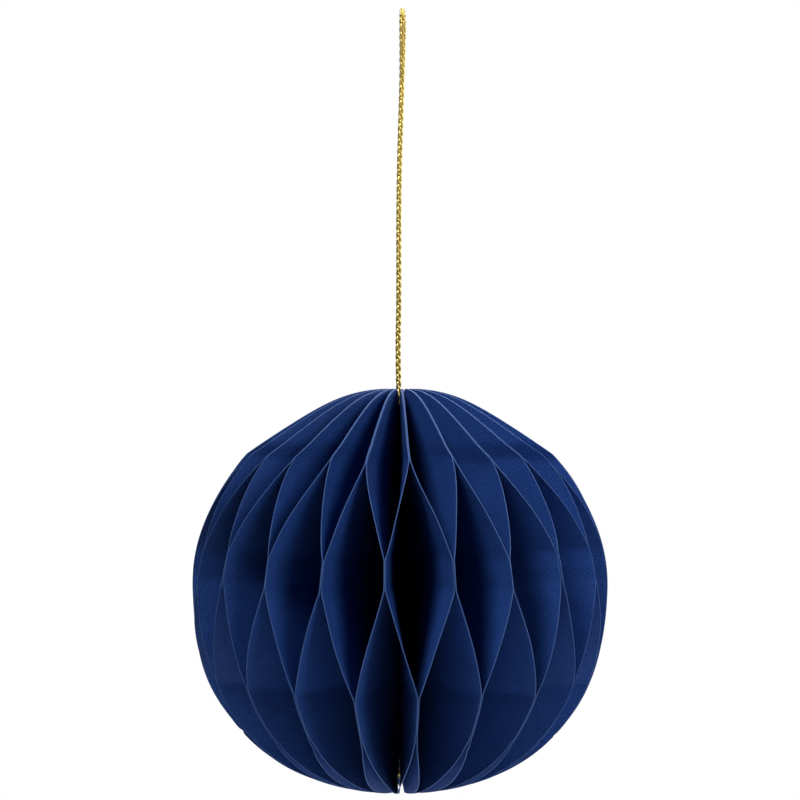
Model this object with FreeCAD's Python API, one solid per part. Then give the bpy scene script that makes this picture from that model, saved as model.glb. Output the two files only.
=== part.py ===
"""Paper honeycomb ball hanging on a loop of braided cord.

Forty-two stiff paper leaves, each a half disc, stand round a hollow spine.
Neighbouring leaves are glued together along three level strips: the middle strip joins one set
of pairs and the upper and lower strips join the other set, so every leaf waves between two
neighbouring glue lines and the leaves form a honeycomb.  The first and the last leaf carry a
cover board with thin disc magnets; the two boards meet at the back and hold the ball open.
The cord is a long loop.  Its ends run down the spine and are tied in one knot below the leaves.

Millimetres, +Z up.  The finished pieces are written with the origin at the hanging point, where
the crown of the loop rests on a hook.  Every function works from the middle of the spine instead,
and the write step lowers the piece into place.  -Y is the front of the ball and the two boards
meet at the back, in the half plane X = 0, Y > 0.
"""
import FreeCAD, Part
import math
import os

# Driving dimensions
BALL_R = 50.0            # widest radius of the open ball
BALL_H = 0.97 * BALL_R   # half of its height
LEAF_COUNT = 42          # paper leaves, two for every column of cells
PAPER = 0.22             # thickness of one leaf
GLUE = 0.03              # thickness of a glue film, and the gap left by it
SPINE_R = 2.2            # radius of the hollow spine
CORD_D = 1.25            # diameter of the braided cord
CORD_RISE = 92.0         # length of the loop that shows above the ball

# Outline of a leaf: an ellipse above the middle, a fuller curve below it, and a taper at each end
UPPER_POWER = 2.0
LOWER_POWER = 2.35
TOP_TAPER = (0.60, 0.44)     # power of the taper where it begins and at the pole
BOTTOM_TAPER = (0.33, 0.42)
END_TRIM = 0.13          # how far short of the full height a leaf is cut off level
TOP_DIMPLE = 2.2         # depth of the hollow round the cord at the top
BOTTOM_DIMPLE = 5.6      # depth of the hollow round the knot at the bottom

# Glue strips, as heights on the ball (lower edge, upper edge)
LOW_STRIP = (-0.58 * BALL_R, -0.44 * BALL_R)
MIDDLE_STRIP = (0.09 * BALL_R, 0.19 * BALL_R)
HIGH_STRIP = (0.655 * BALL_R, 0.757 * BALL_R)
BEND = 0.16              # share of the height between two strips that bends at each end
LENS = 0.9               # how far a pair has opened again at the bottom, as a share of a step
TOP_CROWDING = 0.17      # the front columns stand closer together at the top
BOTTOM_SPREAD = 0.065    # and further apart at the bottom

# Cover boards and magnets
BOARD = 0.8              # thickness of a cover board
BOARD_INNER_R = 11.5     # distance of the board's straight edge from the spine's middle
BOARD_TRIM = 0.4         # how far the board stays inside the leaf's outline
BOARD_H = 0.9 * BALL_H   # half of the board's height
MAGNET_D = 6.0
MAGNET_T = 0.5
MAGNET_POCKET = 0.55     # depth of the pocket in the board
MAGNET_R = 41.0          # distance of a magnet from the spine's middle
MAGNET_Z = 12.0          # height of a magnet above or below the middle

# Cord loop and knot
STRAND_GAP = 0.05        # gap between the two strands where they lie together
LOOP_R = 3.6             # bend radius of the cord's middle line at the top of the loop
LOOP_LENGTH = 16.0       # height over which the strands part towards the bend
KNOT_R = 2.6
KNOT_CLEAR = 0.12        # gap between the knot and the leaves that rest on it

# Sizes that follow from the ones above
STEP = 2.0 * math.pi / LEAF_COUNT                    # angle between neighbouring glue lines
FRONT = LEAF_COUNT // 2                              # glue line that faces the front
HALF_PAIR = (PAPER + GLUE) / 2.0                     # leaf's middle to the middle of its pair
BOARD_STANDOFF = GLUE + BOARD + GLUE + PAPER / 2.0   # end leaf's middle to the closing plane
BEND_R = BOARD_INNER_R - 0.5                         # where the end leaves turn flat on the board
END_Z = BALL_H - END_TRIM
HANG_Z = BALL_H + CORD_RISE - CORD_D                 # hanging point above the spine's middle
STATION_DEG = 3.6                                    # mean spacing of the curve points in latitude


def vec(x, y, z):
    return FreeCAD.Vector(x, y, z)


def outline_radius(z):
    """Radius of a leaf's rim at height z: a round belly that tapers past the outer strips."""
    power, taper, start = UPPER_POWER, TOP_TAPER, HIGH_STRIP[0]
    if z < 0.0:
        power, taper, start = LOWER_POWER, BOTTOM_TAPER, -LOW_STRIP[0]
    belly = BALL_R * math.sqrt(1.0 - (min(abs(z), start) / BALL_H) ** power)
    past = max(0.0, (abs(z) - start) / (BALL_H - start))
    return belly * (1.0 - past) ** (taper[0] + (taper[1] - taper[0]) * past ** 2)


def stations():
    """Latitudes of the curve points, from the bottom of the rim to its top.

    They stand closer together next to the edges of the glue strips, where the paper bends most.
    """
    last = math.asin(END_Z / BALL_H)
    edges = [-last]
    for low, high in (LOW_STRIP, MIDDLE_STRIP, HIGH_STRIP):
        edges += [math.asin(low / BALL_H), math.asin(high / BALL_H)]
    edges.append(last)
    result = [edges[0]]
    for start, stop in zip(edges, edges[1:]):
        count = max(3, round(math.degrees(stop - start) / STATION_DEG))
        for n in range(1, count + 1):
            share = n / count - 0.45 * math.sin(2.0 * math.pi * n / count) / (2.0 * math.pi)
            result.append(start + (stop - start) * share)
    return result


def bent_ramp(s):
    """Rise from 0 to 1 that is straight in the middle and bends smoothly at both ends."""
    if s <= 0.0:
        return 0.0
    if s > 0.5:
        return 1.0 - bent_ramp(1.0 - s)
    slope = 1.0 / (1.0 - BEND)
    if s >= BEND:
        return (s - BEND / 2.0) * slope
    x = s / BEND
    return slope * BEND * (x ** 3 - x ** 4 / 2.0)


def swing(z):
    """0 where a leaf lies on its high and low strips, 1 where it lies on its middle strip."""
    if z >= MIDDLE_STRIP[1]:
        return 1.0 - bent_ramp((z - MIDDLE_STRIP[1]) / (HIGH_STRIP[0] - MIDDLE_STRIP[1]))
    if z >= LOW_STRIP[1]:
        return bent_ramp((z - LOW_STRIP[1]) / (MIDDLE_STRIP[0] - LOW_STRIP[1]))
    return LENS * (max(0.0, LOW_STRIP[0] - z) / (LOW_STRIP[0] + END_Z)) ** 2


def crowding(z):
    """Azimuth shift at height z, as a multiple of the sine of the azimuth."""
    middle = sum(MIDDLE_STRIP) / 2.0
    reach = sum(HIGH_STRIP) / 2.0 - middle
    share = max(-1.0, min(1.0, (z - middle) / reach))
    return -share * (TOP_CROWDING if share > 0.0 else BOTTOM_SPREAD)


def spine_height(z):
    """Height at the spine of the leaf line that meets the rim at height z."""
    if z > HIGH_STRIP[1]:
        share = (z - HIGH_STRIP[1]) / (END_Z - HIGH_STRIP[1])
        return z - TOP_DIMPLE * share
    if z < LOW_STRIP[0]:
        share = (LOW_STRIP[0] - z) / (LOW_STRIP[0] + END_Z)
        return z + BOTTOM_DIMPLE * share
    return z


def bend_radius(z):
    """Radius of the line where the end leaves turn flat, kept between the spine and the rim."""
    return min(BEND_R, SPINE_R + 0.6 * (outline_radius(z) - SPINE_R))


def standoff(radius):
    """Distance of an end leaf from the closing plane, small near the spine."""
    return min(BOARD_STANDOFF, HALF_PAIR + (radius - SPINE_R) * (BOARD_STANDOFF - HALF_PAIR)
               / (BEND_R - SPINE_R))


def leaf_point(number, z, radius, side):
    """Point of leaf number at rim height z and the given radius; side is -1 or +1."""
    first = number - 1
    share = swing(z) if first % 2 == 0 else 1.0 - swing(z)
    plain = STEP * (first + share - FRONT)
    angle = plain + crowding(z) * math.sin(plain)
    at_first = standoff(radius) if first == 0 else HALF_PAIR
    at_second = standoff(radius) if number == LEAF_COUNT else HALF_PAIR
    offset = at_first * (1.0 - share) - at_second * share + side * PAPER / 2.0
    rim = outline_radius(z)
    reach = (radius - SPINE_R) / (rim - SPINE_R)
    height = spine_height(z) + (z - spine_height(z)) * reach
    return vec(radius * math.sin(angle) + offset * math.cos(angle),
               -radius * math.cos(angle) + offset * math.sin(angle),
               height)


def spline(points, parameters):
    curve = Part.BSplineCurve()
    curve.interpolate(Points=points, Parameters=parameters)
    return curve.toShape()


def make_leaf(number):
    """One paper leaf: two ruled faces on each side, closed by its rim, spine and end edges."""
    latitudes = stations()
    heights = [BALL_H * math.sin(latitude) for latitude in latitudes]
    lines = {}
    for name, radius_at in (("spine", lambda z: SPINE_R),
                            ("bend", bend_radius),
                            ("rim", outline_radius)):
        for side in (-1, 1):
            points = [leaf_point(number, z, radius_at(z), side) for z in heights]
            lines[name, side] = (spline(points, latitudes), points[0], points[-1])
    faces = []
    for side in (-1, 1):
        for inner, outer in (("spine", "bend"), ("bend", "rim")):
            faces.append(Part.makeRuledSurface(lines[inner, side][0], lines[outer, side][0]))
    for name in ("spine", "rim"):
        faces.append(Part.makeRuledSurface(lines[name, -1][0], lines[name, 1][0]))
    for end in (1, 2):
        corners = [lines[name, side][end] for name, side in
                   (("spine", -1), ("bend", -1), ("rim", -1), ("rim", 1), ("bend", 1), ("spine", 1))]
        faces.append(Part.makeRuledSurface(Part.makeLine(corners[0], corners[5]),
                                           Part.makeLine(corners[1], corners[4])))
        faces.append(Part.makeRuledSurface(Part.makeLine(corners[1], corners[4]),
                                           Part.makeLine(corners[2], corners[3])))
    shell = Part.Shell(faces)
    shell.sewShape()
    solid = Part.Solid(shell)
    if solid.Volume < 0.0:
        solid.reverse()
    return solid


def make_board(side):
    """Cover board on the closing plane: a half-moon of card with two magnet pockets."""
    count = 24
    rim = []
    for n in range(count + 1):
        z = BOARD_H * math.sin(math.pi * (n / count - 0.5))
        rim.append(vec(side * GLUE, outline_radius(z) - BOARD_TRIM, z))
    curve = Part.BSplineCurve()
    curve.interpolate(Points=rim)
    low = vec(side * GLUE, BOARD_INNER_R, rim[0].z)
    high = vec(side * GLUE, BOARD_INNER_R, rim[-1].z)
    wire = Part.Wire([Part.makeLine(low, rim[0]), curve.toShape(),
                      Part.makeLine(rim[-1], high), Part.makeLine(high, low)])
    board = Part.Face(wire).extrude(vec(side * BOARD, 0.0, 0.0))
    for z in (-MAGNET_Z, MAGNET_Z):
        pocket = Part.makeCylinder(MAGNET_D / 2.0 + 0.05, MAGNET_POCKET,
                                   vec(side * GLUE, MAGNET_R, z), vec(side, 0.0, 0.0))
        board = board.cut(pocket)
    return board


def make_magnets(side):
    """Two disc magnets that lie in the pockets of one board, flush with its closing face."""
    discs = []
    for z in (-MAGNET_Z, MAGNET_Z):
        discs.append(Part.makeCylinder(MAGNET_D / 2.0, MAGNET_T,
                                       vec(side * GLUE, MAGNET_R, z), vec(side, 0.0, 0.0)))
    return Part.makeCompound(discs)


def strand_path(y_sign):
    """Middle line of one strand, from the knot up to the crown of the loop."""
    near = (CORD_D + STRAND_GAP) / 2.0
    start = knot_middle() + KNOT_R + GLUE
    top = BALL_H + CORD_RISE - CORD_D / 2.0 - LOOP_R
    part_z = top - LOOP_LENGTH
    spread = LOOP_R - near
    radius = (LOOP_LENGTH ** 2 + spread ** 2) / (4.0 * spread)
    turn = math.asin(LOOP_LENGTH / 2.0 / radius)
    rise = radius * math.sin(turn / 2.0)
    side = radius * (1.0 - math.cos(turn / 2.0))

    def at(y, z):
        return vec(0.0, y_sign * y, z)

    middle = at(near + spread / 2.0, part_z + LOOP_LENGTH / 2.0)
    shoulder = at(LOOP_R * math.sqrt(0.5), top + LOOP_R * math.sqrt(0.5))
    return [Part.makeLine(at(near, start), at(near, part_z)),
            Part.Arc(at(near, part_z), at(near + side, part_z + rise), middle).toShape(),
            Part.Arc(middle, at(LOOP_R - side, top - rise), at(LOOP_R, top)).toShape(),
            Part.Arc(at(LOOP_R, top), shoulder, at(0.0, top + LOOP_R)).toShape()]


def make_cord():
    """The cord's loop: two strands that leave the knot, run up the spine and join in a bend."""
    path = Part.Wire(Part.__sortEdges__(strand_path(-1) + strand_path(1)))
    start = strand_path(-1)[0].Vertexes[0].Point
    section = Part.Wire([Part.makeCircle(CORD_D / 2.0, start, vec(0.0, 0.0, 1.0))])
    return path.makePipeShell([section], True, False)


def knot_middle():
    """Height of the knot's middle: the leaves' inner corners rest just above its shoulder."""
    shoulder = math.sqrt(KNOT_R ** 2 - SPINE_R ** 2)
    return -(END_Z - BOTTOM_DIMPLE) - KNOT_CLEAR - shoulder


def make_knot():
    """The knot, as the round body it pulls up into."""
    return Part.makeSphere(KNOT_R, vec(0.0, 0.0, knot_middle()))


def write(shape, node):
    shape.translate(vec(0.0, 0.0, -HANG_Z))
    shape.exportStep(f"parts/{node}.step")


os.makedirs("parts", exist_ok=True)
for leaf in range(1, LEAF_COUNT + 1):
    write(make_leaf(leaf), f"leaf_{leaf:02d}")
write(make_board(-1), "cover_board_left")
write(make_board(1), "cover_board_right")
write(make_magnets(-1), "magnets_left")
write(make_magnets(1), "magnets_right")
write(make_cord(), "hanging_cord")
write(make_knot(), "cord_knot")
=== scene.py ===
"""Looks of the paper honeycomb ball: wavy paper leaves, card boards, magnets and a gold braid.

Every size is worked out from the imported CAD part: the ball's radius, the spine's radius, the
heights of the leaves and the cord's thickness are read from its nodes, and the rest are shares
of those.  Metres, +Z up, the front of the ball is -Y.
"""

import math
import random

import bmesh
import bpy
import numpy as np
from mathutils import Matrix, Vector


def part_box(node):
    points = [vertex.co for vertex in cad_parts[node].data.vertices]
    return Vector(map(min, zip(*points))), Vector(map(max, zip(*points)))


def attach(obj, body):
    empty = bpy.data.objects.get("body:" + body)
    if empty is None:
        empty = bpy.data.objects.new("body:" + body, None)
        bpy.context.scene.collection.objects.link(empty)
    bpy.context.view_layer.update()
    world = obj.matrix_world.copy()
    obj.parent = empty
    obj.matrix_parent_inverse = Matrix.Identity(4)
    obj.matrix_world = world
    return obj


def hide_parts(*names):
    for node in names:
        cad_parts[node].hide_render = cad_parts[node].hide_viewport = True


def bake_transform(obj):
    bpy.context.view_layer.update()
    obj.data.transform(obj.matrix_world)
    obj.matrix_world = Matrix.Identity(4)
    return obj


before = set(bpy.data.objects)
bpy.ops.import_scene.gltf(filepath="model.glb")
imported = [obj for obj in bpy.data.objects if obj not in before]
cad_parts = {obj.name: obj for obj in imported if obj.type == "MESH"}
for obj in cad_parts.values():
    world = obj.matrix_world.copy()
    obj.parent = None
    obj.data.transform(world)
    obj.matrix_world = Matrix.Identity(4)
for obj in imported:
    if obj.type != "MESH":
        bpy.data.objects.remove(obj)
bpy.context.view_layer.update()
rng = random.Random(7)


def cad_points(node):
    """Vertices of a CAD node as an array."""
    return np.array([v.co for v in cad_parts[node].data.vertices], float)


# The ball, read from the frame
LEAF_COUNT = sum(name.startswith("leaf_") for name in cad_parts)
FRONT = LEAF_COUNT // 2
STEP = 2.0 * math.pi / LEAF_COUNT
front_leaf = cad_points(f"leaf_{FRONT + 1:02d}")
front_radii = np.hypot(front_leaf[:, 0], front_leaf[:, 1])
BALL_R = float(front_radii.max())
SPINE_R = float(front_radii.min())
MM = BALL_R / 50.0                 # one millimetre: the ball's radius is 50 mm
MIDDLE = float(front_leaf[:, 2].max() + front_leaf[:, 2].min()) / 2.0
END_Z = float(front_leaf[:, 2].max()) - MIDDLE
END_TRIM = 0.13 * MM               # cut off each pole of the outline
BALL_H = END_Z + END_TRIM

# Leaves
PAPER = 0.22 * MM
GLUE = 0.03 * MM
HALF_PAIR = (PAPER + GLUE) / 2.0
UPPER_POWER = 2.0                  # of the round belly above and below the middle
LOWER_POWER = 2.35
TOP_TAPER = (0.60, 0.44)           # power of the taper where it begins and at the pole
BOTTOM_TAPER = (0.33, 0.42)
TOP_DIMPLE = 2.2 * MM              # how far the spine's ends lie inside the poles
BOTTOM_DIMPLE = 5.6 * MM
LOW_STRIP = (-0.58 * BALL_R, -0.44 * BALL_R)      # lower and upper edge of each glue strip
MIDDLE_STRIP = (0.09 * BALL_R, 0.19 * BALL_R)
HIGH_STRIP = (0.655 * BALL_R, 0.757 * BALL_R)
BEND = 0.07                        # share of a slope that the bend at each end takes up
BOW = 0.07                         # how far the paper bows out between the middle and high strips
FLARE_POWER = 1.5                  # of the reach: the rims below the low strip flare most
TOP_CROWDING = 0.17                # radians by which the lines crowd towards the front at the top
CROWDING_POWER = 1.5
BOTTOM_SPREAD = 0.065              # and spread from it at the bottom
STATION_DEG = 1.05                 # mean spacing of a leaf's height stations in latitude
RADIUS_STATIONS = 12
NICK_Z = -0.68 * BALL_R             # small nick left in every rim where the sheets were held
NICK_DEPTH = 0.45 * MM
NICK_HALF_HEIGHT = 0.45 * MM
INNER_R = 1.5 * MM                 # the leaves close up here round the cord, away from the ends
INNER_ENDS = [0.90 * BALL_R, 0.93 * BALL_R]   # heights over which they open to the spine's radius
EDGE_ROUND = 0.05 * MM             # rounding of a leaf's cut edge

# Errors of gluing by hand: the most that a line or a leaf is off
LINE_SHIFT_DEG = 0.65
LINE_LEAN_DEG = 0.8
STRIP_DROP = 0.8 * MM
FLARES = (0.84, 0.99)              # share of the way to the next line that the lowest rims flare
RIM_WOBBLE = 0.24 * MM
RIM_WAVES = (7.0, 10.0)            # waves of the wobble in a rim, in radians per ball radius
NICK_SHIFT = 0.6 * MM
RIPPLE = (0.08 * MM, 0.20 * MM)
RIPPLE_WAVES = (5.0, 9.0)

# Boards and magnets
BOARD_GAP = 0.03 * MM              # from the closing plane
BOARD = 0.8 * MM
BOARD_STANDOFF = BOARD_GAP + BOARD + GLUE + PAPER / 2.0
BOARD_BEND_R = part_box("cover_board_left")[0].y - 0.5 * MM     # the end leaves are flat from here
END_LEAF_RING = 0.185              # an extra ring of vertices at that bend, as a share of the reach
BOARD_CORNER = 1.2 * MM
BOARD_EDGE = 0.12 * MM
POCKET_DEPTH = 0.55 * MM
POCKET_PLAY = 0.06 * MM            # gap round a magnet in its pocket
MAGNET_EDGE = 0.12 * MM
ROUND_SEGMENTS = 64

# Cord
cord_low, cord_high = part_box("hanging_cord")
CORD_D = cord_high.x - cord_low.x
LOOP_R = (cord_high.y - cord_low.y - CORD_D) / 2.0
STRAND_GAP = 0.05 * MM
LOOP_LENGTH = 16.0 * MM            # from where the strands part to the middle of the crown
BRAID_PERIOD = 5.5 * MM
BRAID_STEPS = 26.0                 # rows of vertices in one period

# Camera: a long lens, level, a little above the ball's middle and turned slightly off the front
CAMERA_DISTANCE = 12.0 * BALL_R
CAMERA_RISE = 0.913 * BALL_R
CAMERA_TURN_DEG = 3.43
CAMERA_SENSOR = 36.0
CAMERA_LENS = 111.8

# Soft lamps: name, place and width in ball radii from the ball's middle, strength
LAMPS = (("key", (-5.5, -7.0, 14.0), 6.0, 0.20),
         ("fill", (10.0, -9.5, 8.0), 8.0, 0.12),
         ("side", (13.5, 7.5, 4.0), 9.0, 0.30),
         ("back", (0.0, 12.5, 10.0), 10.0, 0.28),
         ("bounce", (-0.5, -3.5, -6.5), 3.0, 0.04))
LAMP_GAIN = 40.0
WORLD_LIGHT = 0.02                 # strength of the white surroundings as light

NAVY = (0.0145, 0.051, 0.212)
NAVY_EDGE = (0.065, 0.135, 0.360)
GOLD = (0.86, 0.66, 0.20)


# ---------------------------------------------------------------- the shape of a leaf

class Line:
    """One glue line of the fan, with the small errors of a hand-glued ball."""

    def __init__(self, number):
        free = 0.0 if number in (0, LEAF_COUNT) else 1.0
        self.rest = STEP * (number - FRONT)
        self.shift = math.radians(rng.uniform(-LINE_SHIFT_DEG, LINE_SHIFT_DEG)) * free
        self.lean = math.radians(rng.uniform(-LINE_LEAN_DEG, LINE_LEAN_DEG)) * free
        self.drop = rng.uniform(-STRIP_DROP, STRIP_DROP) * free
        self.lens = rng.uniform(*FLARES)

    def angle(self, z):
        """Azimuth of the line at height z above the middle."""
        middle = sum(MIDDLE_STRIP) / 2.0
        reach = sum(HIGH_STRIP) / 2.0 - middle
        share = np.clip((z - middle) / reach, -1.0, 1.0)
        crowding = np.where(share > 0.0, -TOP_CROWDING * np.abs(share) ** CROWDING_POWER,
                            -BOTTOM_SPREAD * share)
        return self.rest + crowding * math.sin(self.rest) + self.shift + self.lean * z / BALL_R


LINES = [Line(number) for number in range(LEAF_COUNT + 1)]


def half_outline(height, power, taper, start):
    """Rim radius at a height above or below the middle: a round belly, then a taper."""
    belly = BALL_R * np.sqrt(1.0 - (np.minimum(height, start) / BALL_H) ** power)
    past = np.clip((height - start) / (BALL_H - start), 0.0, 1.0)
    return belly * (1.0 - past) ** (taper[0] + (taper[1] - taper[0]) * past ** 2)


def outline_radius(z):
    """Radius of a leaf's rim at height z."""
    upper = half_outline(np.abs(z), UPPER_POWER, TOP_TAPER, HIGH_STRIP[0])
    lower = half_outline(np.abs(z), LOWER_POWER, BOTTOM_TAPER, -LOW_STRIP[0])
    return np.where(z > 0.0, upper, lower)


def height_stations():
    """Heights of the rows of a leaf's mesh, closer together next to the edges of the strips."""
    last = math.asin(END_Z / BALL_H)
    edges = [-last]
    for low, high in (LOW_STRIP, MIDDLE_STRIP, HIGH_STRIP):
        edges += [math.asin(low / BALL_H), math.asin(high / BALL_H)]
    edges.append(last)
    latitudes = [np.array([-last])]
    for start, stop in zip(edges, edges[1:]):
        count = max(5, round(math.degrees(stop - start) / STATION_DEG))
        step = np.arange(1, count + 1) / count
        step = step - 0.45 * np.sin(2.0 * math.pi * step) / (2.0 * math.pi)
        latitudes.append(start + (stop - start) * step)
    return BALL_H * np.sin(np.concatenate(latitudes))


def bent_ramp(s):
    """Rise from 0 to 1 that is straight in the middle and bends smoothly at both ends."""
    s = np.clip(s, 0.0, 1.0)
    x = np.minimum(s, 1.0 - s)
    slope = 1.0 / (1.0 - BEND)
    bent = slope * BEND * ((x / BEND) ** 3 - (x / BEND) ** 4 / 2.0)
    rise = np.where(x < BEND, bent, (x - BEND / 2.0) * slope)
    return np.where(s > 0.5, 1.0 - rise, rise)


def swing(z, reach, outer, inner):
    """0 where the leaf lies on line outer's high and low strips, 1 on line inner's middle strip.

    Below the low strip the pair opens again, but only its rims flare: reach is 1 at the rim.
    """
    high = HIGH_STRIP[0] + outer.drop
    low = LOW_STRIP[1] + outer.drop
    top = MIDDLE_STRIP[1] + inner.drop
    bottom = MIDDLE_STRIP[0] + inner.drop
    rise = np.clip((z - top) / (high - top), 0.0, 1.0)
    upper = 1.0 - bent_ramp(rise) + BOW * np.sin(math.pi * rise) ** 2
    lower = bent_ramp((z - low) / (bottom - low))
    foot = LOW_STRIP[0] + outer.drop
    s = np.clip((foot - z) / (foot + END_Z), 0.0, 1.0)
    lens = outer.lens * s ** 2 * reach ** FLARE_POWER
    return np.where(z > (top + bottom) / 2.0, upper, np.where(z > foot, lower, lens))


def spine_height(z):
    """Height at the spine of the leaf line that meets the rim at height z."""
    above = np.clip((z - HIGH_STRIP[1]) / (END_Z - HIGH_STRIP[1]), 0.0, 1.0)
    below = np.clip((LOW_STRIP[0] - z) / (LOW_STRIP[0] + END_Z), 0.0, 1.0)
    return z - TOP_DIMPLE * above + BOTTOM_DIMPLE * below


def bend_radius(z):
    """Radius at which the end leaves turn flat against their board."""
    return np.minimum(BOARD_BEND_R, SPINE_R + 0.6 * (outline_radius(z) - SPINE_R))


def standoff(radius, bend):
    """Distance of an end leaf from the closing plane: next to none, then a board's thickness."""
    share = np.clip((radius - SPINE_R) / (bend - SPINE_R), 0.0, 1.0)
    full = np.minimum(BOARD_STANDOFF, HALF_PAIR + (BOARD_STANDOFF - HALF_PAIR)
                      * (bend - SPINE_R) / (BOARD_BEND_R - SPINE_R))
    return HALF_PAIR + (full - HALF_PAIR) * share


def leaf_rim(z, phase):
    """Radius of one leaf's rim: the outline with its own wobble and its nick."""
    wobble = RIM_WOBBLE * np.sin(z / BALL_R * rng.uniform(*RIM_WAVES) + phase)
    nick_z = NICK_Z + rng.uniform(-NICK_SHIFT, NICK_SHIFT)
    nick = NICK_DEPTH * np.exp(-((z - nick_z) / NICK_HALF_HEIGHT) ** 2)
    return outline_radius(z) + wobble * np.cos(z / BALL_H * math.pi / 2.0) - nick


def leaf_ripple(z, phase, free):
    """Waviness of one leaf's faces where it is free of its glue lines."""
    ripple = rng.uniform(*RIPPLE) * np.sin(z / BALL_R * rng.uniform(*RIPPLE_WAVES) + 2.0 * phase)
    return ripple * 4.0 * free * (1.0 - free)


def leaf_section(z, rim, end_leaf):
    """Closed loop round a leaf's section, as (radius, reach, side): in to out, rim, out to in."""
    inner_edge = np.interp(np.abs(z), INNER_ENDS, [INNER_R, SPINE_R])
    reaches = np.linspace(0.0, 1.0, RADIUS_STATIONS)
    if end_leaf:
        reaches = np.sort(np.append(reaches, END_LEAF_RING))
    radii = [inner_edge + (rim - inner_edge) * reach for reach in reaches]
    radii[-1] = radii[-1] - EDGE_ROUND
    rings = list(zip(radii, reaches))
    return ([(radius, reach, -1) for radius, reach in rings] + [(rim, 1.0, 0)]
            + [(radius, reach, 1) for radius, reach in reversed(rings)])


def sheet_faces(rows, width):
    """Quads of a closed sheet of rows x width vertices, and which of them are cut edges."""
    half = width // 2
    faces, edges = [], []
    for row in range(rows - 1):
        for k in range(width):
            after = (k + 1) % width
            faces.append((row * width + k, row * width + after,
                          (row + 1) * width + after, (row + 1) * width + k))
            edges.append(k in (half - 1, half, width - 1))
    for row in (0, rows - 1):
        start = row * width
        for k in range(half - 1):
            quad = (start + k, start + width - 1 - k, start + width - 2 - k, start + k + 1)
            faces.append(quad if row == 0 else quad[::-1])
            edges.append(True)
        tip = (start + half - 1, start + half + 1, start + half)
        faces.append(tip if row == 0 else tip[::-1])
        edges.append(True)
    return faces, edges


def make_leaf(number):
    """One paper leaf between two glue lines, as a closed sheet with rounded cut edges."""
    first, second = LINES[number - 1], LINES[number]
    outer, inner = (first, second) if (number - 1) % 2 == 0 else (second, first)
    z = height_stations()
    phase = rng.uniform(0.0, 2.0 * math.pi)
    rim = leaf_rim(z, phase)
    ripple = leaf_ripple(z, phase, swing(z, 1.0, outer, inner))
    bend = bend_radius(z)
    section = leaf_section(z, rim, number in (1, LEAF_COUNT))

    points, flats, weights = [], [], []
    for radius, reach, side in section:
        share = swing(z, reach, outer, inner)
        to_second = share if inner is second else 1.0 - share
        angle = (1.0 - to_second) * first.angle(z) + to_second * second.angle(z)
        weights.append((angle - first.rest) / STEP)
        at_first = standoff(radius, bend) if number == 1 else HALF_PAIR
        at_second = standoff(radius, bend) if number == LEAF_COUNT else HALF_PAIR
        offset = (at_first * (1.0 - to_second) - at_second * to_second
                  + side * PAPER / 2.0 + ripple * reach ** 2)
        height = spine_height(z) + (z - spine_height(z)) * reach
        points.append(np.stack([radius * np.sin(angle) + offset * np.cos(angle),
                                offset * np.sin(angle) - radius * np.cos(angle),
                                MIDDLE + height], axis=1))
        flats.append(np.stack([radius / BALL_R + 2.0 * (side + 1) + 5.0 * number,
                               height / BALL_R], axis=1))
    vertices = np.stack(points, axis=1).reshape(-1, 3)
    uvs = np.stack(flats, axis=1).reshape(-1, 2)
    faces, edges = sheet_faces(len(z), len(section))

    obj = add_mesh(f"paper_leaf_{number:02d}", vertices, faces, [paper, cut_edge],
                   [1 if edge else 0 for edge in edges], uvs)
    rim_gap = np.stack([np.maximum(rim - radius, 0.0) for radius, _, _ in section], axis=1)
    attribute = obj.data.attributes.new("rim_gap", "FLOAT", "POINT")
    attribute.data.foreach_set("value", (rim_gap.reshape(-1) / MM).astype(np.float32))
    fold_with_lines(obj)
    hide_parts(f"leaf_{number:02d}")


def fold_with_lines(obj):
    """Bakes a leaf's placement into its mesh.
    """
    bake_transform(obj)


# ---------------------------------------------------------------- meshes and materials

def add_mesh(name, vertices, faces, materials, face_materials=None, uvs=None, sharp_deg=38.0):
    """A smooth-shaded mesh with sharp corners, outward normals and one UV map."""
    mesh = bpy.data.meshes.new(name)
    mesh.from_pydata([tuple(v) for v in vertices], [], [tuple(f) for f in faces])
    for material in materials:
        mesh.materials.append(material)
    if face_materials is not None:
        mesh.polygons.foreach_set("material_index", face_materials)
    if uvs is not None:
        layer = mesh.uv_layers.new(name="flat")
        loops = np.empty(len(mesh.loops), np.int32)
        mesh.loops.foreach_get("vertex_index", loops)
        layer.data.foreach_set("uv", np.asarray(uvs, np.float32)[loops].ravel())
    work = bmesh.new()
    work.from_mesh(mesh)
    bmesh.ops.recalc_face_normals(work, faces=work.faces)
    work.to_mesh(mesh)
    work.free()
    mesh.shade_smooth()
    mesh.set_sharp_from_angle(angle=math.radians(sharp_deg))
    mesh.update()
    obj = bpy.data.objects.new(name, mesh)
    bpy.context.scene.collection.objects.link(obj)
    return obj


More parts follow.
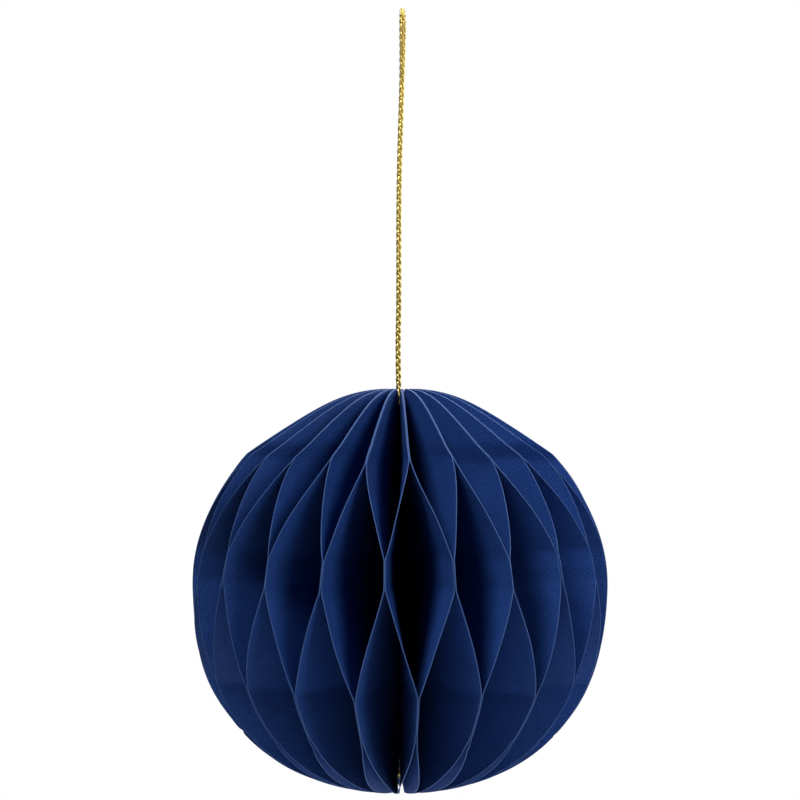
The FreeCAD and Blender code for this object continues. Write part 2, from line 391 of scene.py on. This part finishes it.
class Nodes:
    """Short hand for building one material's node tree."""

    def __init__(self, name):
        self.material = bpy.data.materials.new(name)
        self.material.use_nodes = True
        self.tree = self.material.node_tree
        self.shader = self.tree.nodes["Principled BSDF"]

    def add(self, kind, inputs=None, **settings):
        node = self.tree.nodes.new(kind)
        for key, value in settings.items():
            setattr(node, key, value)
        for key, value in (inputs or {}).items():
            self.put(node.inputs[key], value)
        return node

    def put(self, socket, value):
        if isinstance(value, bpy.types.NodeSocket):
            self.tree.links.new(value, socket)
        else:
            socket.default_value = value

    def set(self, key, value):
        self.put(self.shader.inputs[key], value)

    def mapped(self, value, low, high):
        """value from 0..1 to low..high."""
        node = self.add("ShaderNodeMapRange", {"Value": value, "To Min": low, "To Max": high})
        return node.outputs["Result"]

    def noise(self, vector, scale, detail=3.0, rough=0.6):
        node = self.add("ShaderNodeTexNoise", {"Vector": vector, "Scale": scale, "Detail": detail,
                                               "Roughness": rough})
        return node.outputs["Fac"]

    def mix(self, factor, a, b, mode="MIX"):
        node = self.add("ShaderNodeMix", data_type="RGBA", blend_type=mode)
        self.put(node.inputs[0], factor)
        self.put(node.inputs[6], a)
        self.put(node.inputs[7], b)
        return node.outputs[2]

    def bump(self, height, strength, distance):
        node = self.add("ShaderNodeBump", {"Height": height, "Strength": strength,
                                           "Distance": distance})
        return node.outputs["Normal"]


def colour(rgb, gain=1.0):
    return tuple(c * gain for c in rgb) + (1.0,)


def paper_material(name, base, edge_light):
    """Uncoated navy paper: mottled dye, fine fibres, a soft sheen and edges worn pale."""
    n = Nodes(name)
    flat = n.add("ShaderNodeUVMap", uv_map="flat").outputs["UV"]
    stretched = n.add("ShaderNodeMapping",
                      {"Vector": flat, "Scale": (3.0, 1.0, 1.0)}).outputs["Vector"]
    cloud = n.noise(flat, 9.0, 4.0)
    grain = n.noise(flat, 110.0, 4.0, 0.75)
    fibre = n.noise(stretched, 190.0, 3.0, 0.7)
    cloudy = n.mix(cloud, colour(base, 0.78), colour(base, 1.22))
    grainy = n.mix(n.mapped(grain, -1.3, 2.3), colour((0.60,) * 3), colour((1.40,) * 3))
    dyed = n.mix(1.0, cloudy, grainy, "MULTIPLY")
    if edge_light:
        gap = n.add("ShaderNodeAttribute", attribute_name="rim_gap").outputs["Fac"]
        worn = n.add("ShaderNodeMapRange", {"Value": gap, "From Min": 0.0, "From Max": 0.22,
                                            "To Min": 0.45, "To Max": 0.0}).outputs["Result"]
        rubbed = n.mapped(n.noise(flat, 14.0, 3.0), -0.4, 1.4)
        worn = n.add("ShaderNodeMath", {0: worn, 1: rubbed}, operation="MULTIPLY",
                     use_clamp=True).outputs["Value"]
        dyed = n.mix(worn, dyed, colour(NAVY_EDGE))
    n.set("Base Color", dyed)
    n.set("Roughness", n.mapped(grain, 0.50, 0.75))
    n.set("Specular IOR Level", 0.14)
    height = n.add("ShaderNodeMath", {0: fibre, 1: grain}, operation="ADD").outputs["Value"]
    n.set("Normal", n.bump(height, 0.22, 0.05 * MM))
    return n.material


def cut_edge_material(name):
    """The cut edge of the paper, where the pale core shows through the dye."""
    n = Nodes(name)
    flat = n.add("ShaderNodeUVMap", uv_map="flat").outputs["UV"]
    nicks = n.noise(flat, 160.0, 4.0, 0.8)
    rubbed = n.noise(flat, 14.0, 3.0)
    core = n.mix(nicks, colour(NAVY_EDGE, 0.7), colour(NAVY_EDGE, 1.3))
    n.set("Base Color", n.mix(n.mapped(rubbed, -0.5, 1.5), colour(NAVY_EDGE, 0.45), core))
    n.set("Roughness", n.mapped(nicks, 0.75, 0.95))
    n.set("Specular IOR Level", 0.2)
    n.set("Normal", n.bump(nicks, 0.4, 0.04 * MM))
    return n.material


def gold_material(name):
    """Metallic foil thread: fine windings along each strand, some of them duller than others."""
    n = Nodes(name)
    flat = n.add("ShaderNodeUVMap", uv_map="flat").outputs["UV"]
    winding = n.add("ShaderNodeTexWave", {"Vector": flat, "Scale": 0.9, "Distortion": 1.5,
                                          "Detail": 2.0, "Detail Scale": 1.5},
                    wave_type="BANDS", bands_direction="DIAGONAL").outputs["Fac"]
    patch = n.noise(flat, 1.3, 4.0, 0.7)
    bright = n.mix(winding, colour(GOLD, 0.55), colour(GOLD, 1.15))
    dull = n.mix(n.mapped(patch, -0.35, 1.1), bright, (0.42, 0.30, 0.06, 1.0))
    n.set("Base Color", dull)
    n.set("Metallic", 0.75)
    n.set("Roughness", n.mapped(patch, 0.26, 0.46))
    n.set("Normal", n.bump(winding, 0.5, 0.05 * MM))
    return n.material


def nickel_material(name):
    """Nickel-plated magnet with faint turning marks and handling scratches."""
    n = Nodes(name)
    where = n.add("ShaderNodeTexCoord").outputs["Object"]
    scratch = n.noise(where, 900.0, 4.0, 0.8)
    n.set("Base Color", n.mix(scratch, (0.50, 0.49, 0.46, 1.0), (0.68, 0.67, 0.63, 1.0)))
    n.set("Metallic", 1.0)
    n.set("Roughness", n.mapped(scratch, 0.18, 0.38))
    n.set("Normal", n.bump(scratch, 0.08, 0.02 * MM))
    return n.material


paper = paper_material("navy_paper", NAVY, True)
board_paper = paper_material("navy_card", colour(NAVY, 0.9)[:3], False)
cut_edge = cut_edge_material("cut_paper_edge")
gold = gold_material("gold_braid")
nickel = nickel_material("nickel_plate")


# ---------------------------------------------------------------- boards and magnets

def board_outline(low, high):
    """Half-moon outline of a board, as (y, z), with its two inner corners rounded."""
    trim = BALL_R - high.y
    reach = (high.z - low.z) / 2.0
    steps = 72
    outline = [(low.y + BOARD_CORNER, -reach)]
    for n in range(steps + 1):
        z = reach * math.sin(math.pi * (n / steps - 0.5))
        outline.append((float(outline_radius(np.array(z))) - trim, z))
    outline.append((low.y + BOARD_CORNER, reach))
    corner = []
    for n in range(1, 6):
        turn = math.pi / 2.0 * n / 6.0
        corner.append((low.y + BOARD_CORNER * (1.0 - math.sin(turn)),
                       reach - BOARD_CORNER * (1.0 - math.cos(turn))))
    return outline + corner + [(y, -z) for y, z in reversed(corner)]


def make_board(name, side):
    """Cover board: a half-moon of card with softened edges and round pockets for its magnets."""
    low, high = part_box(f"cover_board_{name}")
    work = bmesh.new()
    ring = [work.verts.new((low.x, y, MIDDLE + z)) for y, z in board_outline(low, high)]
    face = work.faces.new(ring)
    grown = bmesh.ops.extrude_face_region(work, geom=[face])
    moved = [v for v in grown["geom"] if isinstance(v, bmesh.types.BMVert)]
    bmesh.ops.translate(work, verts=moved, vec=(high.x - low.x, 0.0, 0.0))
    bmesh.ops.remove_doubles(work, verts=work.verts, dist=0.001 * MM)
    rims = [e for e in work.edges if abs(e.verts[0].co.x - e.verts[1].co.x) < 0.01 * MM]
    bmesh.ops.bevel(work, geom=rims, offset=BOARD_EDGE, segments=2, profile=0.5, affect="EDGES")
    bmesh.ops.recalc_face_normals(work, faces=work.faces)
    mesh = bpy.data.meshes.new(f"card_board_{name}")
    work.to_mesh(mesh)
    work.free()
    obj = bpy.data.objects.new(f"card_board_{name}", mesh)
    bpy.context.scene.collection.objects.link(obj)
    cut_pockets(obj, name, low.x if side > 0 else high.x)
    obj.data.materials.append(board_paper)
    unwrap_flat(obj)
    obj.data.shade_smooth()
    obj.data.set_sharp_from_angle(angle=math.radians(35.0))
    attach(obj, f"glue_line_{0 if side < 0 else LEAF_COUNT:02d}")
    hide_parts(f"cover_board_{name}")


def magnet_places(name):
    """Centres (y, z) and radius of the two magnets of one board, read from the frame."""
    low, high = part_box(f"magnets_{name}")
    radius = (high.y - low.y) / 2.0
    y = (low.y + high.y) / 2.0
    return [(y, low.z + radius), (y, high.z - radius)], radius


def cut_pockets(obj, name, closing):
    """Sinks the magnets' round pockets into the closing face of a board."""
    places, radius = magnet_places(name)
    radius += POCKET_PLAY
    work = bmesh.new()
    for y, z in places:
        made = bmesh.ops.create_cone(work, cap_ends=True, segments=ROUND_SEGMENTS, radius1=radius,
                                     radius2=radius, depth=2.0 * POCKET_DEPTH)
        for vertex in made["verts"]:
            vertex.co = Vector((closing + vertex.co.z, y + vertex.co.x, z + vertex.co.y))
    bmesh.ops.recalc_face_normals(work, faces=work.faces)
    mesh = bpy.data.meshes.new("pockets")
    work.to_mesh(mesh)
    work.free()
    cutter = bpy.data.objects.new("pockets", mesh)
    bpy.context.scene.collection.objects.link(cutter)
    cut = obj.modifiers.new("pockets", "BOOLEAN")
    cut.operation = "DIFFERENCE"
    cut.solver = "EXACT"
    cut.object = cutter
    graph = bpy.context.evaluated_depsgraph_get()
    carved = bpy.data.meshes.new_from_object(obj.evaluated_get(graph))
    obj.modifiers.clear()
    obj.data = carved
    bpy.data.objects.remove(cutter)


def unwrap_flat(obj):
    """UV map of a flat board: its own plane, in ball radii."""
    layer = obj.data.uv_layers.new(name="flat")
    for loop in obj.data.loops:
        co = obj.data.vertices[loop.vertex_index].co
        layer.data[loop.index].uv = (co.y / BALL_R, (co.z - MIDDLE) / BALL_R)


def make_magnets(name, side):
    """Two plated discs with rounded rims, turned from one profile."""
    places, radius = magnet_places(name)
    low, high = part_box(f"magnets_{name}")
    thick = high.x - low.x
    profile = [(0.0, 0.0), (radius - MAGNET_EDGE, 0.0)]
    for n in range(1, 5):
        turn = math.pi / 2.0 * n / 4.0
        profile.append((radius - MAGNET_EDGE * (1.0 - math.sin(turn)),
                        MAGNET_EDGE * (1.0 - math.cos(turn))))
    profile += [(r, thick - h) for r, h in reversed(profile)]
    vertices, faces = [], []
    for y, z in places:
        rings = []
        for r, h in profile:
            if r == 0.0:
                rings.append([len(vertices)])
                vertices.append((low.x + h, y, z))
                continue
            ring = []
            for n in range(ROUND_SEGMENTS):
                turn = 2.0 * math.pi * n / ROUND_SEGMENTS
                ring.append(len(vertices))
                vertices.append((low.x + h, y + r * math.cos(turn), z + r * math.sin(turn)))
            rings.append(ring)
        for inner, outer in zip(rings, rings[1:]):
            for n in range(ROUND_SEGMENTS):
                after = (n + 1) % ROUND_SEGMENTS
                if len(inner) == 1:
                    faces.append((inner[0], outer[n], outer[after]))
                elif len(outer) == 1:
                    faces.append((inner[n], outer[0], inner[after]))
                else:
                    faces.append((inner[n], outer[n], outer[after], inner[after]))
    obj = add_mesh(f"plated_magnets_{name}", vertices, faces, [nickel], sharp_deg=50.0)
    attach(obj, f"glue_line_{0 if side < 0 else LEAF_COUNT:02d}")
    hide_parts(f"magnets_{name}")


# ---------------------------------------------------------------- cord and knot

def smooth_path(points, step):
    """Points spaced evenly by step along a Catmull-Rom curve through the given points."""
    points = [np.array(p, float) for p in points]
    padded = [2 * points[0] - points[1]] + points + [2 * points[-1] - points[-2]]
    dense = []
    for a, b, c, d in zip(padded, padded[1:], padded[2:], padded[3:]):
        pieces = max(2, int(np.linalg.norm(c - b) / step * 3))
        for n in range(pieces):
            t = n / pieces
            dense.append(0.5 * (2 * b + (c - a) * t + (2 * a - 5 * b + 4 * c - d) * t ** 2
                                + (3 * b - a - 3 * c + d) * t ** 3))
    dense.append(points[-1])
    dense = np.array(dense)
    lengths = np.concatenate([[0.0], np.cumsum(np.linalg.norm(np.diff(dense, axis=0), axis=1))])
    even = np.linspace(0.0, lengths[-1], max(8, int(lengths[-1] / step)))
    return np.stack([np.interp(even, lengths, dense[:, k]) for k in range(3)], axis=1), even


def braid(name, points, width, sideways):
    """Three flattened strands plaited round a path; sideways is the flat side of the plait."""
    centre, run = smooth_path(points, BRAID_PERIOD / BRAID_STEPS)
    tangent = np.gradient(centre, axis=0)
    tangent /= np.linalg.norm(tangent, axis=1)[:, None]
    across = np.array(sideways, float) - tangent * (tangent @ np.array(sideways, float))[:, None]
    across /= np.linalg.norm(across, axis=1)[:, None]
    over = np.cross(tangent, across)
    strand_w, strand_t = 0.235 * width, 0.165 * width
    swing_w, swing_t = 0.5 * width - strand_w, 0.205 * width
    ring = 10
    vertices, faces, uvs = [], [], []
    for strand in range(3):
        phase = 2.0 * math.pi * (run / BRAID_PERIOD + strand / 3.0)
        u = swing_w * np.sin(phase)
        v = swing_t * np.sin(2.0 * phase)
        middle = centre + across * u[:, None] + over * v[:, None]
        along = np.gradient(middle, axis=0)
        along /= np.linalg.norm(along, axis=1)[:, None]
        side = across - along * np.sum(across * along, axis=1)[:, None]
        side /= np.linalg.norm(side, axis=1)[:, None]
        up = np.cross(along, side)
        base = len(vertices)
        for row in range(len(middle)):
            for k in range(ring):
                turn = 2.0 * math.pi * k / ring
                vertices.append(middle[row] + side[row] * strand_w * math.cos(turn)
                                + up[row] * strand_t * math.sin(turn))
                uvs.append((run[row] / MM, 3.0 * strand + k / ring))
        for row in range(len(middle) - 1):
            for k in range(ring):
                after = (k + 1) % ring
                faces.append((base + row * ring + k, base + row * ring + after,
                              base + (row + 1) * ring + after, base + (row + 1) * ring + k))
        faces.append(tuple(base + k for k in range(ring)))
        faces.append(tuple(base + (len(middle) - 1) * ring + k for k in range(ring)))
    return add_mesh(name, vertices, faces, [gold], uvs=uvs, sharp_deg=60.0)


def lean(z):
    """Sideways drift of the hanging cord, which is never quite straight."""
    share = (z - MIDDLE - BALL_H) / (cord_high.z - MIDDLE - BALL_H)
    share = max(0.0, min(1.0, share))
    return (-0.75 + 1.35 * share + 0.16 * math.sin(share * 9.0)) * MM * min(1.0, 6.0 * share + 0.35)


def make_cord():
    """The loop: two braided strands up from the knot that part below the crown."""
    near = (CORD_D + STRAND_GAP) / 2.0
    top = cord_high.z - CORD_D / 2.0 - LOOP_R
    part_z = top - LOOP_LENGTH
    spread = LOOP_R - near
    front = []
    rows = 24
    for n in range(rows):
        z = cord_low.z + (part_z - cord_low.z) * n / rows
        front.append((lean(z), -near, z))
    for n in range(7):
        share = n / 7.0
        z = part_z + LOOP_LENGTH * share
        front.append((lean(z), -near - spread * share ** 2 * (3.0 - 2.0 * share), z))
    for n in range(6):
        turn = math.pi / 2.0 * n / 6.0
        z = top + LOOP_R * math.sin(turn)
        front.append((lean(z), -LOOP_R * math.cos(turn), z))
    crown = [(lean(top + LOOP_R), 0.0, top + LOOP_R)]
    back = [(x, -y, z) for x, y, z in reversed(front)]
    cord = braid("braided_cord", front + crown + back, CORD_D, (1.0, 0.0, 0.0))
    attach(cord, "cord")
    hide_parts("hanging_cord")


def make_knot():
    """The cord's ends pulled up into an overhand knot."""
    low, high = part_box("cord_knot")
    middle = (low + high) / 2.0
    radius = (high.z - low.z) / 2.0
    width = 0.78 * CORD_D
    size = (radius - width / 2.0) / 3.0
    points = []
    count = 30
    for n in range(count + 1):
        t = 2.0 * math.pi * (n / count * 0.94 + 0.03)
        points.append((middle.x + size * (math.sin(t) + 2.0 * math.sin(2.0 * t)),
                       middle.y + size * (math.cos(t) - 2.0 * math.cos(2.0 * t)),
                       middle.z - size * 1.5 * math.sin(3.0 * t)))
    knot = braid("tied_knot", points, width, (0.0, 0.0, 1.0))
    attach(knot, "cord")
    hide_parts("cord_knot")


# ---------------------------------------------------------------- stage

def camera_only(name, seen, real, strength):
    """A white surface that looks seen to the camera and is real to everything else."""
    n = Nodes(name)
    n.set("Base Color", colour((real,) * 3))
    n.set("Roughness", 0.9)
    glow = n.add("ShaderNodeEmission", {"Color": colour((seen,) * 3), "Strength": strength})
    path = n.add("ShaderNodeLightPath").outputs["Is Camera Ray"]
    mixed = n.add("ShaderNodeMixShader", {0: path, 1: n.shader.outputs["BSDF"],
                                          2: glow.outputs["Emission"]})
    n.put(n.tree.nodes["Material Output"].inputs["Surface"], mixed.outputs["Shader"])
    return n.material


def make_stage():
    size = 60.0 * BALL_R
    z = MIDDLE - 8.0 * BALL_R
    corners = [(-size, -size, z), (size, -size, z), (size, size, z), (-size, size, z)]
    mesh = bpy.data.meshes.new("floor")
    mesh.from_pydata(corners, [], [(0, 1, 2, 3)])
    mesh.materials.append(camera_only("pale_floor", 1.0, 0.72, 1.0))
    floor = bpy.data.objects.new("floor", mesh)
    bpy.context.scene.collection.objects.link(floor)

    world = bpy.data.worlds.new("studio")
    world.use_nodes = True
    tree = world.node_tree
    background = tree.nodes["Background"]
    background.inputs["Color"].default_value = (1.0, 1.0, 1.0, 1.0)
    path = tree.nodes.new("ShaderNodeLightPath")
    level = tree.nodes.new("ShaderNodeMapRange")
    level.inputs["To Min"].default_value = WORLD_LIGHT
    level.inputs["To Max"].default_value = 1.0
    tree.links.new(path.outputs["Is Camera Ray"], level.inputs["Value"])
    tree.links.new(level.outputs["Result"], background.inputs["Strength"])
    bpy.context.scene.world = world

    ball = Vector((0.0, 0.0, MIDDLE))
    for name, place, width, power in LAMPS:
        data = bpy.data.lights.new(name, "AREA")
        data.shape = "DISK"
        data.size = width * BALL_R
        distance = Vector(place).length * BALL_R
        data.energy = power * LAMP_GAIN * distance ** 2
        light = bpy.data.objects.new(name, data)
        light.location = ball + Vector(place) * BALL_R
        light.rotation_mode = "QUATERNION"
        light.rotation_quaternion = (ball - light.location).to_track_quat("-Z", "Y")
        bpy.context.scene.collection.objects.link(light)


def make_camera():
    turn = math.radians(CAMERA_TURN_DEG)
    data = bpy.data.cameras.new("camera")
    data.sensor_width = CAMERA_SENSOR
    data.lens = CAMERA_LENS
    data.clip_start = 0.01
    data.clip_end = 50.0
    camera = bpy.data.objects.new("camera", data)
    camera.location = (CAMERA_DISTANCE * math.sin(turn), -CAMERA_DISTANCE * math.cos(turn),
                       MIDDLE + CAMERA_RISE)
    camera.rotation_euler = (math.pi / 2.0, 0.0, turn)
    bpy.context.scene.collection.objects.link(camera)
    bpy.context.scene.camera = camera


for leaf in range(1, LEAF_COUNT + 1):
    make_leaf(leaf)
for board_name, board_side in (("left", -1), ("right", 1)):
    make_board(board_name, board_side)
    make_magnets(board_name, board_side)
make_cord()
make_knot()
make_stage()
make_camera()
bpy.context.scene.view_settings.view_transform = "Standard"
bpy.context.scene.view_settings.look = "None"
